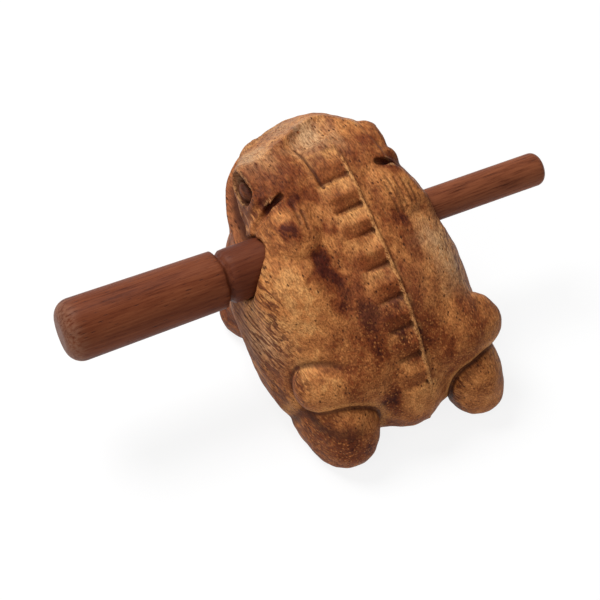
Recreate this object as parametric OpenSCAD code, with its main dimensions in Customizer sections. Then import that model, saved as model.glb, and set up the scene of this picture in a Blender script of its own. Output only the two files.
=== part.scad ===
// Frog guiro: a hollow carved frog with a stepped ridge down its back, and the stick that plays it.
// X runs to the frog's right, Y forward to the snout, Z up. The origin is on the flat base, on the mid-plane.

/* [Body] */
// Width of the body at its widest
body_w = 63.6; // [56:0.2:74]
// Length of the trunk form
body_l = 70.4; // [60:0.2:80]
// Depth of the trunk form
body_d = 39.8; // [34:0.2:46]
// Rise of the back from tail to neck, degrees
back_tilt = 10.2; // [4:0.2:16]
// Height of the trunk form's centre above the base
body_z = 23.2; // [20:0.2:27]
// Depth of the belly form
belly_d = 31; // [26:0.2:36]
// Slope of the back behind the neck, degrees
slope_tilt = 30; // [24:0.5:36]
// Width of the rump between the hind feet
rump_w = 20.8; // [16:0.2:25]

/* [Head] */
// Width of the jaw across the mouth corners
jaw_w = 52.4; // [45:0.2:60]
// Length of the jaw form
jaw_l = 77.2; // [66:0.2:88]
// Depth of the jaw form
jaw_d = 25; // [21:0.2:29]
// Height of the jaw form's centre above the base
jaw_z = 35.4; // [32:0.2:39]
// Width of the upper half of the head
crown_w = 50; // [43:0.2:57]
// Length of the upper half of the head
crown_l = 77.6; // [66:0.2:88]
// Height of the flat top of the head above the base
crown_z = 54.7; // [51:0.2:58]
// Width of the flat top of the head between the eyes
rim_w = 31.2; // [26:0.2:36]
// Distance of the flat top's front edge ahead of the origin
rim_y = 36.6; // [33:0.2:40]
// Width of an eye bulge
eye_w = 8.8; // [6:0.2:12]
// Length of an eye bulge
eye_l = 15.6; // [11:0.2:20]
// Gap between the lips, measured ahead of the snout
mouth_gap = 8.8; // [6:0.2:12]
// Gap between the lips at the stick
mouth_corner = 4.8; // [3:0.2:7]

/* [Legs] */
// Width of a folded thigh
thigh_w = 24.8; // [20:0.2:30]
// Length of a folded thigh
thigh_l = 16.8; // [13:0.2:21]
// Width of a hind foot seen from behind
heel_w = 17; // [14:0.2:21]
// Length of a hind foot
heel_l = 29.6; // [24:0.2:34]
// Width of a foreleg
foreleg_w = 11.6; // [9:0.2:14]
// Height of a foreleg
foreleg_h = 27.4; // [22:0.2:32]

/* [Ridge] */
// Number of steps down the back
step_count = 8; // [5:1:11]
// How much the first step is longer than the mean step, and the last one shorter
step_shrink = 0.15; // [0:0.01:0.3]
// Height of a step's nose above the back
step_rise = 1.5; // [0.8:0.1:3]
// Share of a step that its tread takes
tread_share = 0.58; // [0.4:0.02:0.7]
// Width of the ridge at the head
ridge_w = 9.8; // [6:0.2:13]
// Distance of the ridge to the frog's right of the mid-plane
ridge_shift = 0.9; // [-2:0.1:2]
// Width of the ridge at the tail
ridge_tail_w = 7.4; // [4:0.2:9]

/* [Stick] */
// Diameter of the grip near its rounded end
grip_d = 16.6; // [14:0.1:19]
// Diameter of the collar that goes into the frog
collar_d = 14.6; // [12:0.1:16]
// Diameter of the thin shaft
shaft_d = 9.3; // [7:0.1:11]
// Length of stick on the grip side of the mid-plane
grip_reach = 79.5; // [65:0.5:95]
// Length of stick on the shaft side of the mid-plane
shaft_reach = 60.4; // [45:0.2:80]
// Distance of the groove from the mid-plane
groove_at = 35; // [33:0.5:45]
// Depth of the groove beside the grip
groove_depth = 1; // [0.4:0.1:2]
// Gap all round between the stick and its holes
stick_clear = 0.3; // [0.2:0.05:0.6]
// Height of the stick above the base
stick_z = 38.5; // [35:0.1:42]
// Distance of the stick ahead of the origin
stick_y = 6.7; // [3:0.1:10]
// Turn of the stick away from square, degrees
stick_skew = -1.5; // [-6:0.1:6]

/* [Hollow] */
// Radius of the hollow in the trunk
hollow_r = 13; // [9:0.2:15]
// Radius of the hollow in the throat
throat_r = 9; // [6:0.2:11]

/* [Hidden] */
$fn = 96;

// A form is a squared egg: its centre, full size, tilt about X, turn about Z, squareness and blend width.
function form(at, size, tilt = 0, turn = 0, square = 2, soft = 4) = [at, size / 2, tilt, turn, square, soft];

// The trunk, carved a little fuller on the frog's left, where the wide stick hole is.
trunk = form(
    at = [-0.4, 3.6, body_z], size = [body_w, body_l, body_d], tilt = back_tilt, square = 2.2, soft = 1
);
belly = form(
    at = [0, -8, 12], size = [body_w * 0.975, body_l * 0.727, belly_d], square = 2.6, soft = 5
);
neck = form(
    at = [-1.2, 3, jaw_z + 1], size = [jaw_w * 0.924, 41, jaw_d * 0.736], tilt = 22, square = 2.8, soft = 5
);
slope = form(
    at = [-1.5, -4, body_z + 6.8], size = [body_w * 0.836, body_l * 0.767, body_d * 0.698],
    tilt = slope_tilt, square = 2.7, soft = 5
);
rump = form(
    at = [0.8, -26, 14], size = [rump_w, 25.2, 26], soft = 3
);
TRUNK = [trunk, belly, neck, slope, rump];

foreleg = form(
    at = [body_w * 0.355, 16.1, 14.4], size = [foreleg_w, 16, foreleg_h], tilt = -10
);
forefoot = form(
    at = [body_w * 0.371, 21.3, 4.6], size = [foreleg_w * 1.07, 15.2, 12.4]
);
FORELEGS = [foreleg, forefoot];

left_cheek = form(
    at = [-20, 0, jaw_z + 0.1], size = [14.8, 24, 17], soft = 8
);

thigh = form(
    at = [body_w * 0.277, -24.4, 20.8], size = [thigh_w, thigh_l, 14.4],
    tilt = 24, turn = 15, square = 2.2, soft = 2
);
heel = form(
    at = [body_w * 0.318, -25.6, 9], size = [heel_w, heel_l, 23.6], turn = -10, square = 2.5, soft = 0.6
);
HIND_LEGS = [thigh, heel];
hind_shift = 1;

jaw_tilt = 11;
jaw = form(
    at = [0, 12, jaw_z], size = [jaw_w, jaw_l, jaw_d], tilt = jaw_tilt, square = 2.1, soft = 2
);
eye = form(
    at = [crown_w * 0.356, 25.4, crown_z - 7.1], size = [eye_w, eye_l, 12.8], soft = 1
);
left_pad = form(
    at = [-crown_w * 0.3, 5.2, crown_z - 8.4], size = [eye_w * 1.5, 18, 10],
    tilt = 20, turn = -4, square = 2.3, soft = 1.2
);
right_pad = form(
    at = [crown_w * 0.3, 7.8, crown_z - 8.6], size = [eye_w * 1.5, 18, 10],
    tilt = 20, turn = 4, square = 2.3, soft = 1.2
);
PADS = [left_pad, right_pad];

// The upper half of the head: an egg in plan, pared flat on top, at the nape and in bevels down to the lips.
crown = form(
    at = [0, 10, jaw_z], size = [crown_w, crown_l, jaw_d], square = 2.1
);
crown_soft = 2.5;
PARED = [
    [[0, 25, crown_z], [0, -0.02, 1]],
    [[0, 15.5, crown_z - 1.3], [0, -0.43, 0.9]],
    [[rim_w * 0.13, rim_y, crown_z], [0.08, 0.62, 0.78]],
    [[-rim_w * 0.26, rim_y - 5.8, crown_z], [-0.26, 0.57, 0.78]],
    [[rim_w * 0.346, rim_y - 3, crown_z], [0.46, 0.46, 0.76]],
    [[rim_w / 2, 27, crown_z], [0.79, 0.03, 0.61]],
    [[-rim_w / 2, 27, crown_z], [-0.79, 0.03, 0.61]],
    [[0, 12, jaw_z], [0, sin(jaw_tilt), -cos(jaw_tilt)]],
    [[0, 2, crown_z - 8], [0, -0.75, 0.66]]
];
// The hollow scooped into the forehead.
scoop = form(
    at = [2, rim_y - 6.2, crown_z + 5.5], size = [26, 12.8, 13.2], turn = 24
);

// Distance from a point to a form's skin, below zero inside.
function off_form(p, f) =
    let (
        x = p.x - f[0].x,
        y = p.y - f[0].y,
        z = p.z - f[0].z,
        ct = cos(f[3]),
        st = sin(f[3]),
        x1 = ct * x + st * y,
        y1 = ct * y - st * x,
        cp = cos(f[2]),
        sp = sin(f[2]),
        a = abs(x1) / f[1].x,
        b = abs(cp * y1 + sp * z) / f[1].y,
        c = abs(cp * z - sp * y1) / f[1].z,
        n = f[4],
        near = n == 2 ? norm([a, b, c]) : pow(pow(a, n) + pow(b, n) + pow(c, n), 1 / n),
        slope = norm([a / f[1].x, b / f[1].y, c / f[1].z]) + 1e-6
    )
    norm([a, b, c]) * (near - 1) / slope;

// Two distances blended over a width k.
function blend(a, b, k) =
    let (h = max(k - abs(a - b), 0) / k)
    min(a, b) - h * h * k / 4;

nowhere = 1000;

// Distance from a point to a list of forms, each blended into the ones before it.
function off_forms(p, forms, d = nowhere, i = 0) =
    i == len(forms) ? d : off_forms(p, forms, blend(d, off_form(p, forms[i]), forms[i][5]), i + 1);

// Distance from a point to the upper half of the head.
function off_crown(p) =
    max(
        off_form([p.x, p.y, crown[0].z], crown),
        max([for (flat = PARED) (p - flat[0]) * flat[1] / norm(flat[1])])
    );

// Distance from a point to the carved skin.
function off_skin(p) =
    let (
        side = [abs(p.x), p.y, p.z],
        hind = [abs(p.x - hind_shift), p.y, p.z],
        body = off_forms(p, [left_cheek], off_forms(side, FORELEGS, off_forms(p, TRUNK))),
        legged = off_forms(side, [jaw], off_forms(hind, HIND_LEGS, body)),
        headed = blend(legged, off_crown(p), crown_soft)
    )
    max(off_forms(side, [eye], off_forms(p, PADS, headed)), -off_form(p, scoop));

heart = [0, 0, 24];
far = 75;
near_enough = 0.02;
stride = 0.8;
most_strides = 60;

// Distance from a start to the skin along a way, coming in from outside.
function reach(from, way, r = far, count = 0) =
    let (d = off_skin(from + way * r))
    (d < near_enough || count > most_strides) ? r
        : reach(from, way, r - max(d * stride, near_enough / 2), count + 1);

function way(turn, lift) = [sin(turn) * cos(lift), cos(turn) * cos(lift), sin(lift)];

turns = 112;
rows = 36;
even_rows = 28;
even_to = -22;

// Points of one meridian, from the crown down to the base. The last rows close up on the floor line.
function meridian(turn) =
    let (
        foot = reach([0, 0, 0], way(turn, 0)),
        low = -atan2(heart.z, foot)
    )
    [for (j = [1 : rows])
        let (
            part = (j - even_rows) / (rows - even_rows),
            lift = j <= even_rows ? 90 + (even_to - 90) * j / even_rows : even_to + (low - even_to) * part
        )
        j == rows ? foot * way(turn, 0) : heart + reach(heart, way(turn, lift)) * way(turn, lift)];

module skin() {
    columns = [for (i = [0 : turns - 1]) meridian(360 * i / turns)];
    top = heart + [0, 0, reach(heart, [0, 0, 1])];
    points = concat([top], [for (c = columns) each c], [[0, 0, 0]]);
    middle = len(points) - 1;
    function at(i, j) = 1 + (i % turns) * rows + j;
    caps = [for (i = [0 : turns - 1]) [0, at(i, 0), at(i + 1, 0)]];
    sides = [for (i = [0 : turns - 1], j = [0 : rows - 2])
        each [[at(i, j), at(i, j + 1), at(i + 1, j + 1)], [at(i, j), at(i + 1, j + 1), at(i + 1, j)]]];
    base = [for (i = [0 : turns - 1]) [middle, at(i + 1, rows - 1), at(i, rows - 1)]];
    polyhedron(points = points, faces = concat(caps, sides, base), convexity = 6);
}

// A point over the mid-line of the back, by its lift round the heart and its height over the skin.
function over_back(lift, rise) =
    let (w = [0, cos(lift), sin(lift)], q = heart + w * (reach(heart, w) + rise))
    [q.y, q.z];

ridge_from = 52;
steps_to = 179.5;
ridge_to = 200;
lift_step = 2;

// Lifts along the back paired with the length run so far, so that steps can be set at even lengths.
back_lifts = [for (a = [ridge_from : lift_step : ridge_to]) a];
back_points = [for (a = back_lifts) over_back(a, 0)];
back_runs = [for (i = 0, run = 0; i < len(back_lifts);
    run = run + (i + 1 < len(back_lifts) ? norm(back_points[i + 1] - back_points[i]) : 0), i = i + 1) run];
lift_table = [for (i = [0 : len(back_lifts) - 1]) [back_runs[i], back_lifts[i]]];
ridge_run = max(back_runs);
steps_run = lookup(steps_to, [for (pair = lift_table) [pair.y, pair.x]]);

function over_ridge(run, rise) = over_back(lookup(run, lift_table), rise);

notch_rise = 0.2;
nose_share = 0.12;
nose_drop = 0.9;
ridge_root = 7;
ridge_span = 100;
ridge_taper_y = 24;

// Length of ridge before a step, with the steps growing shorter towards the tail.
function step_start(i) =
    let (n = step_count)
    steps_run / n * (i + step_shrink * i * (n - i) / (n - 1));

module ridge() {
    steps = [for (i = [0 : step_count - 1])
        let (a = step_start(i), pitch = step_start(i + 1) - a)
        each [
            over_ridge(a, notch_rise),
            over_ridge(a + pitch * tread_share, step_rise),
            over_ridge(a + pitch * (tread_share + nose_share), step_rise * nose_drop)
        ]];
    tail = [over_ridge(steps_run, notch_rise), over_ridge(ridge_run, notch_rise)];
    root = [for (i = [step_count : -1 : 0]) over_ridge(step_start(i), -ridge_root)];
    intersection() {
        rotate([90, 0, 90])
            linear_extrude(height = ridge_w * 2, center = true)
                polygon(concat(steps, tail, [over_ridge(ridge_run, -ridge_root)], root));
        linear_extrude(height = ridge_span)
            polygon([
                [ridge_shift - ridge_w / 2, ridge_span / 2], [ridge_shift - ridge_w / 2, ridge_taper_y],
                [-ridge_tail_w / 2, -ridge_span / 2], [ridge_tail_w / 2, -ridge_span / 2],
                [ridge_shift + ridge_w / 2, ridge_taper_y], [ridge_shift + ridge_w / 2, ridge_span / 2]
            ]);
    }
}

collar_bore_r = collar_d / 2 + stick_clear;
shaft_bore_r = shaft_d / 2 + stick_clear;
bore_end = 11;
flare = 2.4;
flare_at = 26;
past_skin = 60;

module along_stick() {
    translate([0, stick_y, stick_z])
        rotate([0, 0, stick_skew])
            rotate([0, 90, 0])
                children();
}

module stick_holes() {
    along_stick()
        translate([0, 0, -past_skin])
            cylinder(r = collar_bore_r, h = past_skin + bore_end);
    along_stick()
        cylinder(r = shaft_bore_r, h = past_skin);
    along_stick()
        rotate_extrude()
            difference() {
                translate([0, -past_skin])
                    square([collar_bore_r + flare, past_skin - flare_at + flare]);
                translate([collar_bore_r + flare, -flare_at + flare])
                    circle(r = flare);
                translate([collar_bore_r, -flare_at + flare])
                    square([flare * 2, flare]);
            }
}

eye_cut_in = [crown_w * 0.27, 15, crown_z - 1.9];
eye_cut_out = [crown_w * 0.52, 11.9, crown_z - 9];
eye_cut_in_r = 1.3;
eye_cut_out_r = 2;

// The knife cut behind each eye, from the top of the head out through its side.
module eye_cuts() {
    for (side = [-1, 1]) {
        run = eye_cut_out - eye_cut_in;
        translate([side * eye_cut_in.x, eye_cut_in.y, eye_cut_in.z])
            rotate([0, acos(run.z / norm(run)), atan2(run.y, side * run.x)])
                cylinder(r1 = eye_cut_in_r, r2 = eye_cut_out_r, h = norm(run));
    }
}

lip_y = 60;
lip_z = jaw_z + 8.1;
head_past = 90;

// The saw cut between the lips, from the stick forward.
module mouth_cut() {
    rotate([90, 0, 90])
        linear_extrude(height = head_past, center = true)
            polygon([
                [stick_y, stick_z - mouth_corner / 2], [lip_y, lip_z - mouth_gap / 2],
                [lip_y, lip_z + mouth_gap / 2], [stick_y, stick_z + mouth_corner / 2]
            ]);
}

hollow_back = [-11, 21];
hollow_front = [15, 38.5];

// The sound hollow: two round ends, the trunk's and the throat's, and the cone that touches both.
module hollow() {
    run = norm(hollow_front - hollow_back);
    pitch = atan2(hollow_front.y - hollow_back.y, hollow_front.x - hollow_back.x);
    lean = asin((hollow_r - throat_r) / run);
    whole = run + hollow_r + throat_r;
    translate([0, hollow_back.x, hollow_back.y])
        rotate([pitch - 90, 0, 0])
            rotate_extrude()
                intersection() {
                    union() {
                        circle(r = hollow_r);
                        translate([0, run])
                            circle(r = throat_r);
                        polygon([
                            [0, hollow_r * sin(lean)],
                            [hollow_r * cos(lean), hollow_r * sin(lean)],
                            [throat_r * cos(lean), run + throat_r * sin(lean)],
                            [0, run + throat_r * sin(lean)]
                        ]);
                    }
                    translate([0, -hollow_r])
                        square([hollow_r, whole]);
                }
}

module frog_body() {
    color("peru")
        difference() {
            union() {
                skin();
                ridge();
            }
            hollow();
            mouth_cut();
            stick_holes();
            eye_cuts();
        }
}

grip_r = grip_d / 2;
collar_r = collar_d / 2;
shaft_r = shaft_d / 2;
grip_lip = 0.5;
grip_neck_r = collar_r + grip_lip;
grip_round = 4.5;
tip_round = 2.2;
groove_w = 2.6;
cone_to = bore_end - stick_clear;
cone_from = cone_to - (collar_r - shaft_r);

module stick() {
    color("sienna")
        along_stick()
            rotate_extrude() {
                intersection() {
                    translate([0, -grip_reach])
                        square([grip_r, grip_round]);
                    translate([grip_r - grip_round, -grip_reach + grip_round])
                        circle(r = grip_round);
                }
                translate([0, -grip_reach])
                    square([grip_r - grip_round, grip_round]);
                polygon([
                    [0, -grip_reach + grip_round], [grip_r, -grip_reach + grip_round],
                    [grip_neck_r, -groove_at - groove_w / 2], [collar_r - groove_depth, -groove_at],
                    [collar_r, -groove_at + groove_w / 2], [collar_r, cone_from], [shaft_r, cone_to],
                    [shaft_r, shaft_reach - tip_round], [0, shaft_reach - tip_round]
                ]);
                intersection() {
                    translate([0, shaft_reach - tip_round])
                        square([shaft_r, tip_round]);
                    translate([shaft_r - tip_round, shaft_reach - tip_round])
                        circle(r = tip_round);
                }
                translate([0, shaft_reach - tip_round])
                    square([shaft_r - tip_round, tip_round]);
            }
}

frog_body();
stick();
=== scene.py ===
import math

import bpy
import numpy as np
from mathutils import Matrix, Vector


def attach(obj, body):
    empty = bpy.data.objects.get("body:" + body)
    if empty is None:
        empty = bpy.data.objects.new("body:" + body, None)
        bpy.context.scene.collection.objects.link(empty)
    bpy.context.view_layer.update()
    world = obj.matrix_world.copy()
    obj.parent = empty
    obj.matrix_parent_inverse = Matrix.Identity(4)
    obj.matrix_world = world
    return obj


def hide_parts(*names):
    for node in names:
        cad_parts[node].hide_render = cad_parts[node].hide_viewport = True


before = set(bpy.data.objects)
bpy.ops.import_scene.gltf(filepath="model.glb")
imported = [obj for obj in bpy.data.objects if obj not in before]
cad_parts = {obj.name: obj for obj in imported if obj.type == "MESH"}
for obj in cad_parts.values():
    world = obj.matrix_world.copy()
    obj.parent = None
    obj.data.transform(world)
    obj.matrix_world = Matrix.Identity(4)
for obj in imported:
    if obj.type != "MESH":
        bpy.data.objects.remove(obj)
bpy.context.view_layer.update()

# Lengths are in millimetres unless a name says otherwise. X is the frog's right, Y forward, Z up.
# A pair that differs from side to side gives the left value first.
MM = 0.001
CELL = 0.45
GRID_LOW = (-34.3, -42.0, -1.3)
GRID_HIGH = (34.3, 51.0, 57.5)

# The stick, as in the CAD.
STICK_AT = (0.0, 6.7, 38.5)
STICK_SKEW = math.radians(-1.5)
GRIP_R, COLLAR_R, SHAFT_R = 8.3, 7.3, 4.65
GRIP_REACH, SHAFT_REACH = 79.48, 60.38
GROOVE_AT, GROOVE_DEPTH, GROOVE_W = 35.0, 1.0, 2.6
GRIP_ROUND, GRIP_LIP, TIP_ROUND = 4.5, 0.5, 2.2
STICK_CLEAR = 0.3
BORE_END = 11.0
STICK_SIDES = 96
GROOVE_CHIPS, GROOVE_CHIPS_REACH = 0.12, 3.0

# Squared eggs that the body is blended from: centre, half sizes, turns in degrees and squareness.
TRUNK = dict(at=(-0.4, 3.6, 23.2), half=(31.8, 35.2, 19.9), tilt=10.2, square=2.2)
BELLY = dict(at=(0, -8.0, 12), half=(31.0, 25.6, 15.5), square=2.6)
SHOULDERS = dict(at=(-1.2, 3.0, 36.4), half=(24.2, 20.5, 9.2), tilt=22, square=2.8)
BACK = dict(at=(-1.5, -4.0, 30.0), half=(26.6, 27.0, 13.9), tilt=30, square=2.7)
RUMP = dict(at=(0.8, -26, 14), half=(10.4, 12.6, 13))
LEFT_SHOULDER = dict(at=(-20.0, 0.0, 35.5), half=(7.4, 12.0, 8.5))

# Legs, on the right; the left ones mirror them. The hind legs sit a little to the right.
FORELEG = dict(at=(22.6, 16.1, 14.4), half=(5.8, 8.0, 13.7), tilt=-10)
FOREFOOT = dict(at=(23.6, 21.3, 4.6), half=(6.2, 7.6, 6.2))
THIGH = dict(at=(17.8, -23.8, 21.4), half=(12.6, 8.6, 8.4), tilt=24, turn=15, square=2.4)
HEEL = dict(at=(20.2, -25.6, 9.0), half=(8.5, 14.4, 11.8), turn=-10, lean=-10, square=2.5)
SOLE = dict(at=(22.0, -22.0, 0.8), half=(5.8, 9.0, 2.4), turn=-12)
HIND_SHIFT = 1.0
# Between these distances from the middle, the thigh goes over from a soft blend to a crisp fold.
CRISP_FROM, CRISP_TO = (11.0, 19.0), (23.0, 28.0)
HEEL_BLEND = (1.8, 1.0)
THIGH_FOLD, HEEL_FOLD, PAD_FOLD, FOLD_W = 0.55, 0.45, 0.40, 0.8

# Flat faces of the head, each as a point and an outward normal.
CROWN = ((0, 25, 54.7), (0, -0.02, 1))
NAPE = ((0, 15.5, 53.4), (0, -0.43, 0.9))
LEFT_BEVEL = ((-8.1, 30.8, 54.7), (-0.26, 0.57, 0.78))
RIGHT_BEVEL = ((10.8, 33.6, 54.7), (0.46, 0.46, 0.76))
FRONT_BEVEL = ((4.0, 36.6, 54.8), (0.08, 0.62, 0.78))
SIDE_BEVEL = ((15.6, 27.0, 54.6), (0.79, 0.03, 0.61))

# The rest of the head. The eyes, pads and their cuts are given on the right.
HEAD_PLAN = dict(at=(0.8, 9.8, 36.0), half=(23.9, 37.0, 20.0), square=2.05)
HEAD_FLOOR, HEAD_BACK = 38.0, 0.0
JAW = dict(at=(0, 12.0, 35.4), half=(26.1, 37.2, 12.5), tilt=11, square=2.2)
JAW_TOP = 46.6
EYE_BULGE = dict(at=(17.6, 25.4, 47.6), half=(4.4, 7.8, 6.4))
BROW_BLOCK = dict(at=(18.2, 18.2, 47.6), half=(3.6, 2.4, 4.8), lean=-20, square=2.6)
EYE_PIT = dict(at=(21.3, 25.2, 49.4), half=(3.2, 6.0, 4.4), lean=38)
EYEBALL = dict(at=(18.9, 24.6, 47.4), half=(1.9, 4.0, 2.4), lean=38)
RIGHT_EYE_OUT = 0.5
EYE_NOTCH_IN, EYE_NOTCH_OUT = (14.3, 14.8, 52.6), (24.0, 12.4, 46.8)
EYE_NOTCH_IN_R, EYE_NOTCH_OUT_R = 1.0, 1.6
SCOOP = dict(at=(1.6, 30.2, 60.0), half=(13.4, 6.2, 7.0), turn=22, square=2.3)
PAD = dict(at=(15.0, 7.4, 45.6), half=(6.6, 9.0, 5.0), tilt=20, turn=4, square=2.3)
PAD_FORWARD, PAD_UP = (-2.2, 0.4), (0.7, 0.5)

# The saw cut between the lips and the bored hollow behind it.
MOUTH_BACK, MOUTH_RUN = 6.0, 53.3
MOUTH_HALF, MOUTH_WIDENS, MOUTH_RISES = 2.4, 1.0, 6.4
HOLLOW_BACK, HOLLOW_FRONT = (0, -11, 21), (0, 15, 38.5)
HOLLOW_R, THROAT_R = 13.0, 9.0

# Corners between the steps of the ridge, as (Y, Z), from the head to the tail.
NOTCHES = (
    (23.5, 53.9), (13.5, 53.3), (5.1, 49.7), (-2.2, 46.7), (-10.9, 43.0),
    (-18.9, 38.9), (-25.0, 34.0), (-30.1, 28.1), (-34.8, 21.8), (-36.4, 8.0),
)
STEP_RISE = 1.5
TREAD_SHARE = 0.58
RIDGE_ROOT = 8.0
RIDGE_LEFT, RIDGE_RIGHT = -4.0, 5.9
RIDGE_TAIL_LEFT, RIDGE_TAIL_RIGHT = -3.6, 3.8
RIDGE_TAPER_FROM, RIDGE_TAPER_RUN = 24.0, 60.0
RIDGE_LEAN, RIDGE_MIDDLE = 0.14, 2.0
NOSE_ROUND = 0.35
CREST_R, CREST_RISE = 0.55, 0.9
STOP_CUT, STOP_CUT_W = 0.6, 0.8

# Lines that the knife scored into the brow and the pads, as (X, Y) points seen from above.
BROW_LINE = ((-3.6, 28.0), (-3.4, 18.6), (-3.2, 15.0), (-2.8, 12.6))
GOUGES = (
    ((13.8, 10.2), (14.6, 0.4)), ((15.8, 9.0), (15.9, 1.0)), ((12.6, 8.4), (13.0, 0.6)),
    ((17.6, 8.2), (17.8, 1.8)), ((19.2, 6.4), (19.2, 2.4)), ((14.9, 6.0), (15.2, 2.0)),
    ((-12.6, 11.4), (-13.6, 4.6)), ((-11.4, 9.0), (-12.2, 3.0)),
)
BROW_DEPTH, BROW_W = 0.55, 0.50
GOUGE_DEPTH, GOUGE_W = 0.42, 0.40
SCORED_ABOVE = 44.0
KNIFE_BROAD, KNIFE_SHORT, KNIFE_SMALL = 0.16, 0.07, 0.02

# Where stain gathered, and painted shade in the eye pits, the notches behind the eyes and inside the rim of
# the forehead, as X, Y, Z, radius and strength.
STAINS_AND_SHADE = (
    # On the back: left of the ridge, around its lower end and right of it.
    (-12.0, -8.5, 44.0, 3.8, 1.0), (-12.8, -4.6, 46.0, 3.0, 0.95), (-11.0, -15.0, 40.6, 4.2, 0.60),
    (-14.0, -20.0, 37.4, 6.0, 0.25), (-6.9, -20.8, 37.3, 3.4, 0.9), (-1.4, -24.2, 35.0, 3.0, 0.9),
    (-0.3, -28.0, 31.7, 2.8, 0.8), (-7.0, -26.0, 33.0, 5.5, 0.55), (4.0, -20.0, 38.0, 6.0, 0.45),
    (5.0, -28.0, 31.0, 6.0, 0.50), (13.8, -1.0, 46.5, 2.4, 0.65), (12.7, -7.2, 44.0, 3.4, 0.45),
    # On the left pad, as a streak with a faint surround.
    (-15.8, 6.6, 51.9, 1.1, 0.8), (-16.9, 5.3, 51.5, 1.2, 1.0), (-18.1, 4.4, 51.0, 1.2, 1.0),
    (-19.2, 3.8, 50.2, 1.1, 0.9), (-17.2, 4.6, 51.3, 3.4, 0.35),
    # On the crown as stain, then painted shade in the eye pits and in the notches behind them.
    (-14.0, 22.0, 54.0, 5.0, 0.45), (-9.0, 17.0, 54.0, 5.0, 0.40), (-10.0, 24.5, 55.0, 4.0, 0.40),
    (11.0, 20.0, 54.0, 5.0, 0.35), (-20.5, 24.5, 48.5, 4.4, 1.0), (21.0, 25.0, 48.5, 4.4, 0.45),
    (-17.8, 16.0, 50.4, 3.0, 0.70), (17.0, 14.5, 50.5, 3.0, 0.65), (-12.0, 12.0, 52.0, 1.8, 0.50),
    # Painted shade inside the rim of the forehead, and stain on the upper lip.
    (-11.0, 27.5, 54.3, 1.7, 0.60), (-7.0, 31.5, 54.0, 1.7, 0.60), (-1.5, 34.6, 53.9, 1.8, 0.65),
    (4.5, 35.2, 54.0, 1.9, 0.60), (9.0, 33.0, 54.3, 2.0, 0.50), (-20.0, 30.0, 42.0, 8.0, 0.30),
    # On the legs, flanks and rump.
    (-21.5, -39.0, 12.5, 8.0, 0.55), (20.2, -39.0, 12.0, 8.0, 0.10), (-16.0, -30.0, 24.0, 7.0, 0.30),
    (-2.0, -36.0, 20.0, 8.0, 0.15), (-7.7, -34.3, 19.3, 3.5, 0.80), (20.0, -24.0, 30.0, 6.0, 0.35),
    (-31.0, -8.0, 19.0, 7.0, 0.10), (-30.0, -16.0, 16.0, 7.0, 0.20), (-27.0, -22.0, 21.0, 3.0, 0.70),
    (-24.0, 20.0, 6.0, 9.0, 0.45),
)
# Where the wood kept a golden tone.
GOLDEN = (
    # On the left shoulder and flank, then on the thigh.
    (-25.2, -6.4, 43.0, 6.0, 0.60), (-23.7, -0.5, 45.9, 5.0, 0.60), (-23.5, -14.0, 38.4, 6.0, 0.55),
    (-18.0, -18.0, 38.0, 5.0, 0.20), (-30.0, -4.0, 33.0, 8.0, 0.35), (-26.0, -8.0, 38.0, 5.0, 0.30),
    (-23.2, -23.6, 26.6, 5.0, 0.90),
    # On the right flank.
    (19.5, -10.5, 40.0, 6.0, 0.70), (21.0, -16.3, 35.0, 6.0, 0.55), (18.0, -4.0, 44.0, 4.0, 0.40),
    (23.0, -4.0, 40.0, 6.0, 0.40), (24.0, -12.0, 35.0, 6.0, 0.50),
    # On the pads and the rim of the forehead, and on the rump and right heel.
    (-15.5, 9.5, 51.0, 2.4, 0.70), (-13.5, 6.0, 51.0, 2.6, 0.40), (16.5, 7.5, 51.0, 4.5, 0.50),
    (-12.0, 30.0, 54.0, 3.0, 0.60), (-6.0, 34.5, 54.3, 3.5, 0.70), (3.0, 37.5, 54.0, 3.5, 0.60),
    (-2.0, -37.0, 18.0, 7.0, 0.35), (21.0, -38.0, 14.0, 7.0, 0.35),
)
# Where it is bleached, and painted light on the bevels of the head.
BLEACHED_AND_LIT = (
    # On the forehead, and painted light on the bevels of the head.
    (2.0, 29.9, 53.6, 5.0, 0.90), (0.6, 33.2, 54.4, 3.5, 0.70), (5.6, 28.2, 54.6, 3.5, 0.60),
    (-4.0, 27.0, 54.8, 2.5, 0.50), (-14.0, 33.0, 50.5, 6.0, 0.80), (-17.0, 32.0, 48.5, 4.0, 0.80),
    (-2.0, 41.0, 50.5, 7.0, 0.50), (-23.0, 20.0, 44.0, 4.0, 0.40),
    # On the flanks.
    (20.0, -8.0, 41.0, 5.0, 0.70), (22.0, -14.0, 36.0, 5.0, 0.75), (-31.0, -6.0, 26.0, 7.0, 0.55),
)
SPOT_STRETCH = 1.3
SPOT_DRIFT = (0.7, 1.2, 0.7)

# How far off the surface the crevices and crests are felt for.
CREVICE_REACH, CREST_REACH = 1.4, 1.2

# Colours of the frog, from dark to pale, then those of single marks.
DARK, UMBER, MID = (0.055, 0.009, 0.004), (0.185, 0.046, 0.013), (0.31, 0.105, 0.031)
TAN, PALE = (0.47, 0.18, 0.054), (0.58, 0.27, 0.09)
# The first colour below is that of bleached wood and also of the painted light on the head's bevels.
BLEACHED_AND_LIT_TONE, WORN, LIP = (0.56, 0.35, 0.185), (0.55, 0.29, 0.115), (0.30, 0.105, 0.048)
# The first colour below is that of the pores and also of the painted shade in folds, scored lines, crevices
# and the mouth.
PORE_AND_SHADE, LINE = (0.045, 0.012, 0.006), (0.14, 0.042, 0.016)
# The fine grain multiplies what is under it by a tint between these two.
GRAIN_DARK, GRAIN_LIGHT = (0.16, 0.12, 0.10), (1.32, 1.32, 1.32)
# The growth rings run around a line along Y through this point, well below the block.
RING_AXIS = (-6.0, 0.0, -70.0)

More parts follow.
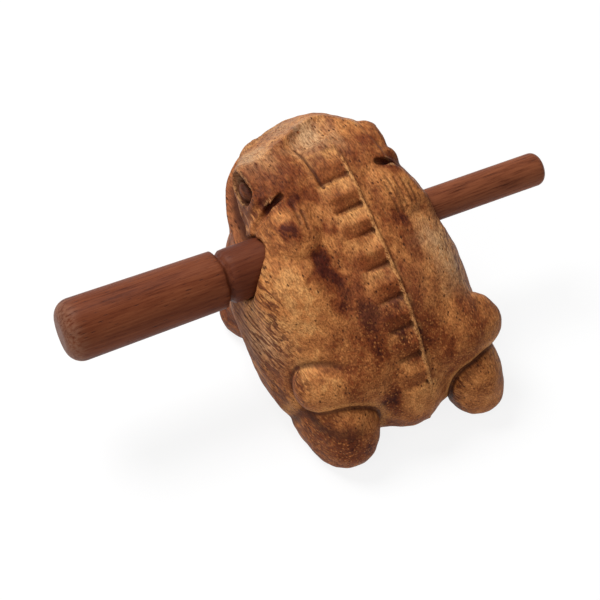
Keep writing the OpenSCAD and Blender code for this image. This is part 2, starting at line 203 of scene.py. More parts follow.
# Colours of the stick, and the stretches along it that differ from the rest.
STICK_TONES = (
    (0.33, (0.05, 0.010, 0.004)), (0.48, (0.125, 0.031, 0.012)),
    (0.62, (0.18, 0.052, 0.021)), (0.75, (0.25, 0.085, 0.04)),
)
STICK_PORE, STICK_WORN = (0.03, 0.008, 0.005), (0.22, 0.13, 0.085)
STICK_COLLAR, STICK_SHAFT = (0.07, 0.016, 0.008), (0.26, 0.085, 0.037)
WORN_END = (-73.0, -78.5)
COLLAR_STARTS, COLLAR_ENDS = (-37.5, -35.0), (14.0, 8.0)
SHAFT_STARTS = (14.0, 26.0)

# The studio, in metres, watts and degrees.
WORLD_FILL = 0.32
FLOOR_SIZE, FLOOR_GREY, FLOOR_LIFT = 6.0, 0.9, 0.85
LAMP_AIM = (0, 0, 0.03)
CAMERA_AZIMUTH, CAMERA_ELEVATION, CAMERA_DISTANCE = -27, 49, 0.450
CAMERA_RIGHT, CAMERA_UP = -0.014494, 0.012753
SENSOR_MM, LENS_MM = 36, 96.1


def soft_min(a, b, blend):
    h = np.maximum(blend - np.abs(a - b), 0.0) / blend
    return np.minimum(a, b) - h * h * blend * 0.25


def soft_max(a, b, blend):
    return -soft_min(-a, -b, blend)


def cut(d, tool, blend):
    return soft_max(d, -tool, blend)


def ramp(v, low, high):
    """0 below low, 1 above high and smooth between."""
    t = np.clip((v - low) / (high - low), 0.0, 1.0)
    return t * t * (3.0 - 2.0 * t)


def close_to(off, width):
    """1 on a line and fading out beside it."""
    return np.exp(-((off / width) ** 2))


def by_side(x, pair):
    return np.where(x > 0, pair[1], pair[0])


def spin(axis, degrees):
    c, s = math.cos(math.radians(degrees)), math.sin(math.radians(degrees))
    i, j = (axis + 1) % 3, (axis + 2) % 3
    m = np.eye(3)
    m[i, i], m[j, j], m[i, j], m[j, i] = c, c, -s, s
    return m


def turned(x, y, z, at, tilt=0.0, turn=0.0, lean=0.0):
    """A point in the axes of a form: turn about Z, then tilt about X, then lean about Y."""
    m = spin(2, turn) @ spin(0, tilt) @ spin(1, lean)
    x, y, z = x - at[0], y - at[1], z - at[2]
    return tuple(m[0, i] * x + m[1, i] * y + m[2, i] * z for i in range(3))


def egg(x, y, z, at, half, tilt=0.0, turn=0.0, lean=0.0, square=2.0):
    """Distance to a squared egg, below zero inside."""
    u, v, w = turned(x, y, z, at, tilt, turn, lean)
    a, b, c = np.abs(u) / half[0], np.abs(v) / half[1], np.abs(w) / half[2]
    size = np.sqrt(a * a + b * b + c * c)
    near = size if square == 2.0 else (a**square + b**square + c**square) ** (1.0 / square)
    slope = np.sqrt((a / half[0]) ** 2 + (b / half[1]) ** 2 + (c / half[2]) ** 2) + 1e-6
    return size * (near - 1.0) / slope


def plane(x, y, z, at, normal):
    n = np.array(normal) / np.linalg.norm(normal)
    return n[0] * (x - at[0]) + n[1] * (y - at[1]) + n[2] * (z - at[2])


def cone_rod(x, y, z, a, b, ra, rb):
    """Distance to a round-ended rod from a to b, with a radius at each end."""
    a, way = np.array(a, float), np.array(b, float) - np.array(a, float)
    t = ((x - a[0]) * way[0] + (y - a[1]) * way[1] + (z - a[2]) * way[2]) / (way @ way)
    t = np.clip(t, 0.0, 1.0)
    dx, dy, dz = x - a[0] - t * way[0], y - a[1] - t * way[1], z - a[2] - t * way[2]
    return np.sqrt(dx * dx + dy * dy + dz * dz) - (ra + (rb - ra) * t)


def chain(x, y, z, points, r):
    """Distance to a rod bent along several points."""
    d = cone_rod(x, y, z, points[0], points[1], r, r)
    for a, b in zip(points[1:], points[2:]):
        d = np.minimum(d, cone_rod(x, y, z, a, b, r, r))
    return d


def outline(y, z, points):
    """Signed distance in the Y-Z plane to a closed outline."""
    shape = np.broadcast(y, z).shape
    y, z = np.broadcast_to(y, shape), np.broadcast_to(z, shape)
    best = np.full(shape, 1e6)
    inside = np.zeros(shape, bool)
    for (y0, z0), (y1, z1) in zip(points, points[1:] + points[:1]):
        wy, wz = y1 - y0, z1 - z0
        t = np.clip(((y - y0) * wy + (z - z0) * wz) / (wy * wy + wz * wz + 1e-9), 0.0, 1.0)
        best = np.minimum(best, (y - y0 - t * wy) ** 2 + (z - z0 - t * wz) ** 2)
        if z0 != z1:
            crosses = (z0 > z) != (z1 > z)
            inside ^= crosses & (y < y0 + (z - z0) * wy / wz)
    return np.where(inside, -1.0, 1.0) * np.sqrt(best)


def plan_line(x, y, a, b):
    """Distance seen from above to a straight line from a to b."""
    wx, wy = b[0] - a[0], b[1] - a[1]
    t = np.clip(((x - a[0]) * wx + (y - a[1]) * wy) / (wx * wx + wy * wy), 0.0, 1.0)
    return np.hypot(x - a[0] - t * wx, y - a[1] - t * wy)


def nearest_line(x, y, lines):
    off = plan_line(x, y, *lines[0])
    for a, b in lines[1:]:
        off = np.minimum(off, plan_line(x, y, a, b))
    return off


def ridge_outline():
    """The stepped side view of the ridge: a tread rises to its nose, then drops to the next notch."""
    top, root = [], []
    for (y0, z0), (y1, z1) in zip(NOTCHES, NOTCHES[1:]):
        run = math.hypot(y1 - y0, z1 - z0)
        oy, oz = (z1 - z0) / run, -(y1 - y0) / run
        rise = STEP_RISE - NOSE_ROUND
        nose = (y0 + (y1 - y0) * TREAD_SHARE + oy * rise, z0 + (z1 - z0) * TREAD_SHARE + oz * rise)
        top += [(y0 - oy * NOSE_ROUND, z0 - oz * NOSE_ROUND), nose]
        root.append((y0 - oy * RIDGE_ROOT, z0 - oz * RIDGE_ROOT))
    top.append(NOTCHES[-1])
    root.append((NOTCHES[-1][0] + RIDGE_ROOT, NOTCHES[-1][1]))
    return top + root[::-1]


def crest_line():
    """The line along the ridge's right edge, a little over the notches."""
    line = []
    for (y0, z0), (y1, z1) in zip(NOTCHES, NOTCHES[1:]):
        run = math.hypot(y1 - y0, z1 - z0)
        line.append((0.0, y0 + (z1 - z0) / run * CREST_RISE, z0 - (y1 - y0) / run * CREST_RISE))
    return line


RIDGE_SIDE = ridge_outline()
CREST_LINE = crest_line()


def body_form(x, y, z):
    """The trunk, belly, rump and shoulders."""
    d = egg(x, y, z, **TRUNK)
    d = soft_min(d, egg(x, y, z, **BELLY), 5)
    d = soft_min(d, egg(x, y, z, **SHOULDERS), 5)
    d = soft_min(d, egg(x, y, z, **BACK), 5)
    return soft_min(d, egg(x, y, z, **RUMP), 3)


def head_halves(x, y, z):
    """The head: a flat top with crisp bevels to the upper lip, and a wider lower jaw."""
    ax = np.abs(x)
    top = soft_max(plane(x, y, z, *CROWN), plane(x, y, z, *NAPE), 2.0)
    bevel = soft_max(plane(x, y, z, *LEFT_BEVEL), plane(x, y, z, *RIGHT_BEVEL), 1.5)
    bevel = soft_max(bevel, plane(x, y, z, *FRONT_BEVEL), 1.5)
    bevel = soft_max(bevel, plane(ax, y, z, *SIDE_BEVEL), 1.2)
    block = soft_max(top, bevel, 0.6)
    block = soft_max(block, egg(x, y, HEAD_PLAN["at"][2], **HEAD_PLAN), 1.0)
    block = soft_max(block, HEAD_FLOOR - z, 4.0)
    block = soft_max(block, HEAD_BACK - y, 6.0)
    jaw = soft_max(egg(ax, y, z, **JAW), z - JAW_TOP, 0.8)
    return block, jaw


def head_form(x, y, z):
    return soft_min(*head_halves(x, y, z), 1.0)


def heel_form(x, y, z):
    return soft_min(egg(x, y, z, **HEEL), egg(x, y, z, **SOLE), 0.6)


def foreleg_form(x, y, z):
    return soft_min(egg(x, y, z, **FORELEG), egg(x, y, z, **FOREFOOT), 4.0)


def face_bulges(x, y, z):
    return soft_min(egg(x, y, z, **EYE_BULGE), egg(x, y, z, **BROW_BLOCK), 1.0)


def ridge_sides(y):
    """The ridge's left and right edge, closing in towards the tail."""
    share = np.clip((RIDGE_TAPER_FROM - y) / RIDGE_TAPER_RUN, 0.0, 1.0)
    low = RIDGE_LEFT + (RIDGE_TAIL_LEFT - RIDGE_LEFT) * share
    high = RIDGE_RIGHT + (RIDGE_TAIL_RIGHT - RIDGE_RIGHT) * share
    return low, high


def ridge_form(x, y, z):
    low, high = ridge_sides(y)
    side = outline(y, z, RIDGE_SIDE) - NOSE_ROUND - RIDGE_LEAN * (x - RIDGE_MIDDLE)
    steps = soft_max(soft_max(side, x - high, 0.4), low - x, 1.0)
    return soft_min(steps, chain(x - high + CREST_R, y, z, CREST_LINE, CREST_R), 0.4)


def stop_cuts(x, y, z):
    """How deep the knife stopped at the foot of each step, in millimetres."""
    low, high = ridge_sides(y)
    across = ramp(x - low, -0.5, 1.5) * ramp(high - x, 0.2, 0.8)
    depth = 0.0
    for notch_y, notch_z in NOTCHES[1:-1]:
        off = np.hypot(y - notch_y, z - notch_z - RIDGE_LEAN * (x - RIDGE_MIDDLE))
        depth = depth + STOP_CUT * across * close_to(off, STOP_CUT_W)
    return depth


def stick_axes(x, y, z):
    """Distance along the stick from the mid-plane, and off its axis."""
    c, s = math.cos(STICK_SKEW), math.sin(STICK_SKEW)
    along = c * x + s * (y - STICK_AT[1])
    across = -s * x + c * (y - STICK_AT[1])
    return along, np.sqrt(across**2 + (z - STICK_AT[2]) ** 2)


def holes(x, y, z):
    along, off = stick_axes(x, y, z)
    wide = soft_max(off - (COLLAR_R + STICK_CLEAR), along - BORE_END, 0.5)
    thin = soft_max(off - (SHAFT_R + STICK_CLEAR), -along, 0.5)
    return np.minimum(wide, thin)


def mouth(y, z):
    share = (y - STICK_AT[1]) / MOUTH_RUN
    middle = STICK_AT[2] + MOUTH_RISES * share
    half = MOUTH_HALF + MOUTH_WIDENS * share
    return soft_max(np.abs(z - middle) - half, MOUTH_BACK - y, 1.0)


def hollow(x, y, z):
    return cone_rod(x, y, z, HOLLOW_BACK, HOLLOW_FRONT, HOLLOW_R, THROAT_R)


def lip_paint(x, y, z):
    """How far a point belongs to the lower lip, and how far it lies inside the mouth, from 0 to 1."""
    block, jaw = head_halves(x, y, z)
    lower = ramp(block - jaw, 0.2, 1.2) * ramp(z, 26.0, 32.0) * ramp(-jaw, -2.0, -0.5)
    inside = ramp(-np.minimum(block, jaw), 1.0, 3.0) * ramp(-mouth(y, z), -0.9, -0.3)
    return lower, inside


def scored_lines(x, y, z):
    """How deep the scored lines are, in millimetres."""
    brow = nearest_line(x, y, list(zip(BROW_LINE, BROW_LINE[1:])))
    gouges = nearest_line(x, y, GOUGES)
    depth = BROW_DEPTH * close_to(brow, BROW_W) + GOUGE_DEPTH * close_to(gouges, GOUGE_W)
    return depth * ramp(z, SCORED_ABOVE, SCORED_ABOVE + 2.0)


def knife_marks(x, y, z):
    """Unevenness that the knife left, from broad waves to short ones."""
    broad = np.sin(0.31 * x + 0.23 * y - 0.17 * z + 1.3) * np.sin(0.19 * x - 0.37 * y + 0.29 * z + 0.4)
    short = np.sin(0.83 * x - 0.41 * y + 0.62 * z + 2.1) * np.sin(-0.52 * x + 0.71 * y + 0.77 * z)
    small = np.sin(1.90 * x + 1.10 * y - 0.70 * z + 0.5) * np.sin(-1.20 * x + 1.60 * y + 1.40 * z + 1.1)
    return KNIFE_BROAD * broad + KNIFE_SHORT * short + KNIFE_SMALL * small


def legged(x, y, z):
    """Distance to the body with its legs, and how close a point is to their folds and the heel's edge."""
    hx = np.abs(x - HIND_SHIFT)
    d = soft_min(body_form(x, y, z), foreleg_form(np.abs(x), y, z), 4.0)
    d = soft_min(d, egg(x, y, z, **LEFT_SHOULDER), 8.0)
    thigh, heel = egg(hx, y, z, **THIGH), heel_form(hx, y, z)
    crisp = ramp(hx, by_side(x, CRISP_FROM), by_side(x, CRISP_TO))
    fold = crisp * close_to(d - thigh, FOLD_W)
    d = soft_min(d, thigh, 5.0 - 3.8 * crisp) + THIGH_FOLD * fold
    heel_fold = close_to(d - heel, FOLD_W)
    edge = close_to(d - heel + 1.8 * FOLD_W, FOLD_W)
    d = soft_min(d, heel, by_side(x, HEEL_BLEND)) + HEEL_FOLD * heel_fold
    return d, np.maximum(fold, heel_fold), edge


def padded(d, x, y, z):
    """The pads behind the head blended on, with a fold along their back ends."""
    forward = by_side(x, PAD_FORWARD)
    pad = egg(np.abs(x), y - forward, z - by_side(x, PAD_UP), **PAD)
    fold = close_to(d - pad, FOLD_W) * ramp(forward - y, -4.0, 2.0)
    return soft_min(d, pad, 1.6) + PAD_FOLD * fold


def faced(d, x, y, z):
    """The eyes blended on, and the knife cuts of the head: the forehead, the eye notches and the eye pits."""
    ex = np.where(x > 0, x - RIGHT_EYE_OUT, -x)
    notch = cone_rod(np.abs(x), y, z, EYE_NOTCH_IN, EYE_NOTCH_OUT, EYE_NOTCH_IN_R, EYE_NOTCH_OUT_R)
    d = soft_min(d, face_bulges(ex, y, z), 1.0)
    d = cut(d, egg(x, y, z, **SCOOP), 0.4)
    d = cut(d, notch, 0.6)
    d = cut(d, egg(ex, y, z, **EYE_PIT), 0.3)
    return soft_min(d, egg(ex, y, z, **EYEBALL), 0.2)


def field(x, y, z):
    """Distance to the carved wood, below zero inside."""
    d = legged(x, y, z)[0]
    d = soft_min(d, head_form(x, y, z), 2.5)
    d = faced(padded(d, x, y, z), x, y, z)
    # The stepped ridge is crisp on its right edge and faded on its left.
    fade = 0.4 + 0.9 * ramp(3.5 - x, 0.0, 6.0)
    d = soft_min(d + knife_marks(x, y, z), ridge_form(x, y, z), fade)
    d = d + stop_cuts(x, y, z) + scored_lines(x, y, z)
    d = cut(d, holes(x, y, z), 1.6)
    d = cut(d, mouth(y, z), 0.8)
    d = cut(d, hollow(x, y, z), 1.0)
    return soft_max(d, -z, 0.6)


def skin_points(d, cells, corners):
    """For each cell, the mean of the places where the zero level crosses its edges, in cells."""
    values = {c: d[cells[:, 0] + c[0], cells[:, 1] + c[1], cells[:, 2] + c[2]] for c in corners}
    total = np.zeros((len(cells), 3))
    hits = np.zeros(len(cells))
    for a in corners:
        for axis in range(3):
            if a[axis]:
                continue
            b = tuple(v + (i == axis) for i, v in enumerate(a))
            va, vb = values[a], values[b]
            crosses = (va < 0) != (vb < 0)
            t = np.where(crosses, va / np.where(crosses, va - vb, 1.0), 0.0)
            point = np.array(a, float) + np.eye(3)[axis] * t[:, None]
            total += np.where(crosses[:, None], point, 0.0)
            hits += crosses
    return cells + total / hits[:, None]


def skin_quads(inside, number, axis):
    """A quad around each grid edge along an axis that the zero level crosses."""
    n = inside.shape
    u, v = (axis + 1) % 3, (axis + 2) % 3
    first = [slice(None)] * 3
    second = [slice(None)] * 3
    first[axis], second[axis] = slice(0, -1), slice(1, None)
    at = np.argwhere(inside[tuple(first)] != inside[tuple(second)])
    at = at[(at[:, u] > 0) & (at[:, v] > 0) & (at[:, u] < n[u] - 1) & (at[:, v] < n[v] - 1)]
    outward = inside[tuple(at.T)]
    ring = []
    for du, dv in ((-1, -1), (0, -1), (0, 0), (-1, 0)):
        c = at.copy()
        c[:, u] += du
        c[:, v] += dv
        ring.append(number[tuple(c.T)])
    ring = np.stack(ring, 1)
    ring[~outward] = ring[~outward][:, ::-1]
    return ring


def skin_mesh(d, low, cell):
    """Quads of the zero level of a sampled field, with one point in each cell that it passes through."""
    inside = d < 0
    n = np.array(d.shape)
    corners = [(i, j, k) for i in (0, 1) for j in (0, 1) for k in (0, 1)]
    count = np.zeros(n - 1, np.int8)
    for i, j, k in corners:
        count += inside[i : n[0] - 1 + i, j : n[1] - 1 + j, k : n[2] - 1 + k]
    cells = np.argwhere((count > 0) & (count < 8))
    points = skin_points(d, cells, corners) * cell + np.array(low)
    number = np.full(n - 1, -1, np.int64)
    number[tuple(cells.T)] = np.arange(len(cells))
    return points, np.concatenate([skin_quads(inside, number, axis) for axis in range(3)])


def slope_of(points, step=0.08):
    x, y, z = points.T
    g = np.stack([
        field(x + step, y, z) - field(x - step, y, z),
        field(x, y + step, z) - field(x, y - step, z),
        field(x, y, z + step) - field(x, y, z - step),
    ], 1) / (2 * step)
    return g, np.linalg.norm(g, axis=1) + 1e-9


def carve():
    """Points, quads, outward ways and the field's slope over the carved wood."""
    axes = [np.arange(a, b, CELL) for a, b in zip(GRID_LOW, GRID_HIGH)]
    x, y, z = axes[0][:, None, None], axes[1][None, :, None], axes[2][None, None, :]
    points, quads = skin_mesh(field(x, y, z), GRID_LOW, CELL)
    for _ in range(2):
        g, size = slope_of(points)
        move = np.clip(field(*points.T) / size, -CELL * 0.5, CELL * 0.5)
        points = points - g / size[:, None] * move[:, None]
    g, size = slope_of(points)
    return points, quads, g / size[:, None], size


def mesh_object(name, points, faces):
    mesh = bpy.data.meshes.new(name)
    mesh.from_pydata((np.asarray(points) * MM).tolist(), [], faces)
    mesh.polygons.foreach_set("use_smooth", np.ones(len(mesh.polygons), bool))
    mesh.validate()
    mesh.update()
    obj = bpy.data.objects.new(name, mesh)
    bpy.context.collection.objects.link(obj)
    return obj


def attribute(obj, name, values):
    layer = obj.data.attributes.new(name, "FLOAT", "POINT")
    layer.data.foreach_set("value", np.clip(values, 0, 1).astype(np.float32))


def spots(points, places):
    """How strongly the nearest of some places marks each point, with uneven edges."""
    x, y, z = points.T
    drift_x = np.sin(0.5 * y + 0.7 * z) + np.sin(1.3 * x)
    drift_y = np.sin(0.6 * x - 0.4 * z)
    drift_z = np.sin(0.7 * x + 0.5 * y)
    points = points + np.stack([drift_x, drift_y, drift_z], 1) * SPOT_DRIFT
    total = np.zeros(len(points))
    for x, y, z, r, strength in places:
        away = np.sum(((points - (x, y, z)) / (r, r * SPOT_STRETCH, r)) ** 2, axis=1)
        total = np.maximum(total, strength * np.exp(-away))
    return total


def step_share(points):
    """How far along its step a point lies, and how surely it is on the ridge and on its edge line."""
    x, y, z = points.T
    share, best = np.zeros(len(points)), np.full(len(points), 1e6)
    for (y0, z0), (y1, z1) in zip(NOTCHES[:-1], NOTCHES[1:]):
        wy, wz = y1 - y0, z1 - z0
        t = np.clip(((y - y0) * wy + (z - z0) * wz) / (wy * wy + wz * wz), 0.0, 1.0)
        off = np.hypot(y - y0 - t * wy, z - z0 - t * wz)
        share, best = np.where(off < best, t, share), np.minimum(off, best)
    across = ramp(x, RIDGE_LEFT - 1.5, RIDGE_LEFT + 1.5) * ramp(-x, -RIDGE_RIGHT, -RIDGE_RIGHT + 0.6)
    near = ramp(-best, -3.0, -2.0)
    edge = np.abs(x - ridge_sides(y)[1] + CREST_R)
    return share, across * near, near * ramp(-edge, -0.7, -0.25)


def paint_ridge(obj, points):
    share, on_ridge, edge_line = step_share(points)
    # Painted light on the treads and painted shade on the risers, since the treads face up to the light and
    # the risers away from it; the painted light fades towards the tail.
    ahead = 0.3 + 0.7 * ramp(points[:, 1], -30.0, 0.0)
    tread = ramp(share, 0.0, 0.03) * ramp(-share, -0.55, -0.15) * ahead
    shaded_riser = ramp(share, TREAD_SHARE - 0.2, TREAD_SHARE + 0.15) * ramp(-share, -1.0, -0.98)
    attribute(obj, "edge_line", edge_line)
    attribute(obj, "tread", on_ridge * tread)
    attribute(obj, "shaded_riser", on_ridge * shaded_riser)


def paint_frog(obj, points, normals, slope):
    """The marks that the material reads, each from 0 to 1 at every point."""
    # Painted shade goes where the crevice, fold, scored-line and in-mouth marks are high; the crest mark is
    # for worn edges.
    outside = field(*(points + normals * CREVICE_REACH).T)
    beneath = field(*(points - normals * CREST_REACH).T)
    attribute(obj, "crevice_shade", 1.0 - outside / (CREVICE_REACH * slope))
    attribute(obj, "crest", 1.0 + beneath / (CREST_REACH * slope))
    attribute(obj, "stain_and_shade", spots(points, STAINS_AND_SHADE))
    attribute(obj, "golden", spots(points, GOLDEN))
    attribute(obj, "bleached_and_lit", spots(points, BLEACHED_AND_LIT))
    paint_ridge(obj, points)
    fold, edge = legged(*points.T)[1:]
    attribute(obj, "fold", fold)
    attribute(obj, "fold_edge", edge)
    lower, inside = lip_paint(*points.T)
    attribute(obj, "lower_lip", lower)
    attribute(obj, "mouth_shade", inside)
    attribute(obj, "scored_shade", scored_lines(*points.T) / BROW_DEPTH)
    attribute(obj, "rear", ramp(-points[:, 1], 8.0, 30.0))


def make_frog():
    points, quads, normals, slope = carve()
    obj = mesh_object("frog", points, quads.tolist())
    paint_frog(obj, points, normals, slope)
    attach(obj, "frog")
    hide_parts("frog_body")
    obj.data.materials.append(frog_wood())


def stick_rings():
    """The turned outline of the stick, as distance along it and radius, starting at the grip's end."""
    rings = []
    for i in range(13):
        a = math.radians(90 * i / 12)
        rings.append((-GRIP_REACH + GRIP_ROUND * (1 - math.sin(a)), GRIP_R - GRIP_ROUND * (1 - math.cos(a))))
    rings.reverse()
    grip_from, grip_to = -GRIP_REACH + GRIP_ROUND, -GROOVE_AT - GROOVE_W / 2
    neck = COLLAR_R + GRIP_LIP
    for i in range(1, 41):
        t = i / 40
        rings.append((grip_from + (grip_to - grip_from) * t, GRIP_R + (neck - GRIP_R) * t))
    floor = COLLAR_R - GROOVE_DEPTH
    # The groove, with its edges a little rounded.
    rings += [
        (grip_to + 0.25, neck - 0.15), (grip_to + 0.5, neck - 0.6),
        (-GROOVE_AT - 0.3, floor + 0.1), (-GROOVE_AT + 0.2, floor + 0.1),
        (-GROOVE_AT + 0.8, COLLAR_R - 0.35), (-GROOVE_AT + GROOVE_W / 2, COLLAR_R),
    ]
    cone_to = BORE_END - STICK_CLEAR
    cone_from = cone_to - (COLLAR_R - SHAFT_R)
    for along_from, along_to, r_from, r_to, count in (
        (-GROOVE_AT + GROOVE_W / 2, cone_from, COLLAR_R, COLLAR_R, 24),
        (cone_from, cone_to, COLLAR_R, SHAFT_R, 5),
        (cone_to, SHAFT_REACH - TIP_ROUND, SHAFT_R, SHAFT_R, 40),
    ):
        for i in range(1, count + 1):
            along = along_from + (along_to - along_from) * i / count
            rings.append((along, r_from + (r_to - r_from) * i / count))
    for i in range(1, 9):
        a = math.radians(90 * i / 8)
        rings.append((SHAFT_REACH - TIP_ROUND * (1 - math.sin(a)), SHAFT_R - TIP_ROUND * (1 - math.cos(a))))
    return rings


def stick_points(rings):
    """The rings set along the stick, with the groove a little uneven and chipped."""
    c, s = math.cos(STICK_SKEW), math.sin(STICK_SKEW)
    turn = np.arange(STICK_SIDES) * 2 * math.pi / STICK_SIDES
    wobble = 0.22 * np.sin(3 * turn + 1.0) + 0.14 * np.sin(7 * turn) + 0.08 * np.sin(17 * turn)
    points = []
    for along, r in rings:
        near = max(0.0, 1.0 - abs(along + GROOVE_AT) / GROOVE_CHIPS_REACH)
        along = along + wobble * near
        r = r - GROOVE_CHIPS * near * (1 + np.sin(5 * turn + along)) if near else r
        across, up = r * np.cos(turn), r * np.sin(turn)
        points.append(np.stack([
            c * along - s * across, STICK_AT[1] + s * along + c * across, STICK_AT[2] + up,
        ], 1))
    return np.concatenate(points)


def make_stick():
    rings = stick_rings()
    here = np.arange(STICK_SIDES)
    after = (here + 1) % STICK_SIDES
    faces = []
    for i in range(len(rings) - 1):
        a, b = i * STICK_SIDES + here, i * STICK_SIDES + after
        faces += np.stack([a, b, b + STICK_SIDES, a + STICK_SIDES], 1).tolist()
    faces.append((here[::-1]).tolist())
    faces.append(((len(rings) - 1) * STICK_SIDES + here).tolist())
    obj = mesh_object("stick_turned", stick_points(rings), faces)
    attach(obj, "stick")
    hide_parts("stick")
    obj.data.materials.append(stick_wood())


class Look:
    """A material's nodes, with a short call for each kind that is used."""

    def __init__(self, name):
        self.mat = bpy.data.materials.new(name)
        self.mat.use_nodes = True
        self.tree = self.mat.node_tree
        self.shader = self.tree.nodes["Principled BSDF"]

    def set(self, socket, value):
        if isinstance(value, bpy.types.NodeSocket):
            self.tree.links.new(value, socket)
        elif isinstance(value, tuple) and len(value) == 3 and socket.type == "RGBA":
            socket.default_value = (*value, 1)
        else:
            socket.default_value = value

    def node(self, kind, **options):
        node = self.tree.nodes.new("ShaderNode" + kind)
        for key, value in options.items():
            setattr(node, key, value)
        return node

    def millimetres(self):
        node = self.node("VectorMath", operation="SCALE")
        self.set(node.inputs[0], self.node("TexCoord").outputs["Object"])
        node.inputs["Scale"].default_value = 1000.0
        return node.outputs["Vector"]

    def vector(self, operation, a, b):
        node = self.node("VectorMath", operation=operation)
        self.set(node.inputs[0], a)
        self.set(node.inputs[1], b)
        return node.outputs["Vector"]

    def length(self, a):
        node = self.node("VectorMath", operation="LENGTH")
        self.set(node.inputs[0], a)
        return node.outputs["Value"]

    def axes(self, a):
        node = self.node("SeparateXYZ")
        self.set(node.inputs[0], a)
        return node.outputs

    def math(self, operation, a, b=0.0):
        node = self.node("Math", operation=operation)
        self.set(node.inputs[0], a)
        self.set(node.inputs[1], b)
        return node.outputs[0]

    def product(self, *values):
        total = values[0]
        for value in values[1:]:
            total = self.math("MULTIPLY", total, value)
        return total

    def sum(self, *shares):
        """The values added up, each times its share."""
        total = self.math("MULTIPLY", *shares[0])
        for value, share in shares[1:]:
            node = self.node("Math", operation="MULTIPLY_ADD")
            self.set(node.inputs[0], value)
            node.inputs[1].default_value = share
            self.set(node.inputs[2], total)
            total = node.outputs[0]
        return total

    def noise(self, where, stretch, detail=4.0, rough=0.6):
        node = self.node("TexNoise", noise_dimensions="3D")
        self.set(node.inputs["Vector"], self.vector("MULTIPLY", where, stretch))
        node.inputs["Scale"].default_value = 1.0
        node.inputs["Detail"].default_value = detail
        node.inputs["Roughness"].default_value = rough
        return node.outputs["Fac"]

    def layers(self, distance, scale, detail=5.0, rough=0.7):
        node = self.node("TexNoise", noise_dimensions="1D")
        self.set(node.inputs["W"], distance)
        node.inputs["Scale"].default_value = scale
        node.inputs["Detail"].default_value = detail
        node.inputs["Roughness"].default_value = rough
        return node.outputs["Fac"]

    def dots(self, where, stretch):
        node = self.node("TexVoronoi", feature="F1")
        self.set(node.inputs["Vector"], self.vector("MULTIPLY", where, stretch))
        node.inputs["Scale"].default_value = 1.0
        return node.outputs["Distance"]

    def between(self, value, low, high):
        """0 below low, 1 above high and smooth between; low over high turns it round."""
        node = self.node("MapRange", interpolation_type="SMOOTHSTEP")
        self.set(node.inputs["Value"], value)
        if low > high:
            low, high = high, low
            node.inputs["To Min"].default_value, node.inputs["To Max"].default_value = 1.0, 0.0
        node.inputs["From Min"].default_value, node.inputs["From Max"].default_value = low, high
        return node.outputs["Result"]

    def painted(self, name):
        return self.node("Attribute", attribute_name=name).outputs["Fac"]

    def colours(self, value, *stops):
        node = self.node("ValToRGB")
        band = node.color_ramp
        while len(band.elements) < len(stops):
            band.elements.new(0.5)
        for element, (at, colour) in zip(band.elements, stops):
            element.position = at
            element.color = (*colour, 1)
        self.set(node.inputs["Fac"], value)
        return node.outputs["Color"]

    def mix(self, share, a, b, blend="MIX"):
        node = self.node("Mix", data_type="RGBA", blend_type=blend)
        self.set(node.inputs[0], share)
        self.set(node.inputs[6], a)
        self.set(node.inputs[7], b)
        return node.outputs[2]

    def finish(self, colour, rough, height, bump_m, strength, gloss):
        bump = self.node("Bump")
        bump.inputs["Strength"].default_value = strength
        bump.inputs["Distance"].default_value = bump_m
        self.set(bump.inputs["Height"], height)
        self.set(self.shader.inputs["Base Color"], colour)
        self.set(self.shader.inputs["Roughness"], rough)
        self.set(self.shader.inputs["Normal"], bump.outputs["Normal"])
        self.shader.inputs["Specular IOR Level"].default_value = gloss
        return self.mat


def wood_tones_light_and_shade(look, at, blots, mottle):
    """The wood's broad tones, with its stained, golden and bleached places, painted shade in the eye pits,
    eye notches and inside the forehead's rim, and painted light on the head's bevels.
    """
    broad = look.noise(at, (0.07, 0.05, 0.07), 3.0, 0.55)
    tone = look.sum(
        (broad, 0.70), (blots, 0.70), (mottle, 0.45),
        (look.painted("golden"), 0.27), (look.painted("stain_and_shade"), -0.58),
    )
    tone = look.math("SUBTRACT", tone, 0.44)
    colour = look.colours(tone, (0.12, DARK), (0.30, UMBER), (0.45, MID), (0.58, TAN), (0.75, PALE))
    bleached_and_lit = look.product(look.painted("bleached_and_lit"), look.between(mottle, 0.28, 0.50), 0.95)
    return look.mix(bleached_and_lit, colour, BLEACHED_AND_LIT_TONE)


def growth_layers(look, at):
    warp = look.noise(at, (0.09, 0.03, 0.09), 3.0, 0.5)
    off_axis = look.vector("MULTIPLY", look.vector("SUBTRACT", at, RING_AXIS), (1.0, 0.0, 1.0))
    return look.layers(look.sum((warp, 7.0), (look.length(off_axis), 1.0)), 1.3)


def growth_lines(look, at, layers, colour):
    """Fine lines along the flanks and lips, and only a soft figure on top and on the end grain."""
    normal = look.axes(look.node("NewGeometry").outputs["Normal"])
    steep = look.between(look.math("ABSOLUTE", normal["Z"]), 0.92, 0.50)
    along = look.between(look.math("ABSOLUTE", normal["Y"]), 0.70, 0.30)
    along = look.math("ADD", look.math("MULTIPLY", along, 0.9), 0.1)
    streaks = look.noise(at, (1.0, 0.024, 1.0), 2.0, 0.55)
    lines = look.sum((look.between(layers, 0.48, 0.60), 0.25), (look.between(streaks, 0.485, 0.55), 0.80))
    return look.mix(look.product(lines, look.math("ADD", steep, 0.15), along), colour, LINE)


def ridge_tones(look, blots, mottle, fine, colour):
    """Painted light on the treads, painted shade on the risers, and a worn line along the ridge's right edge.
    """
    for name, noise, low, high, strength, tint in (
        ("tread", blots, 0.34, 0.60, 0.85, PALE),
        ("shaded_riser", mottle, 0.28, 0.50, 0.80, UMBER),
        ("edge_line", fine, 0.36, 0.56, 0.55, PALE),
    ):
        share = look.product(look.painted(name), look.between(noise, low, high), strength)
        colour = look.mix(share, colour, tint)
    return colour


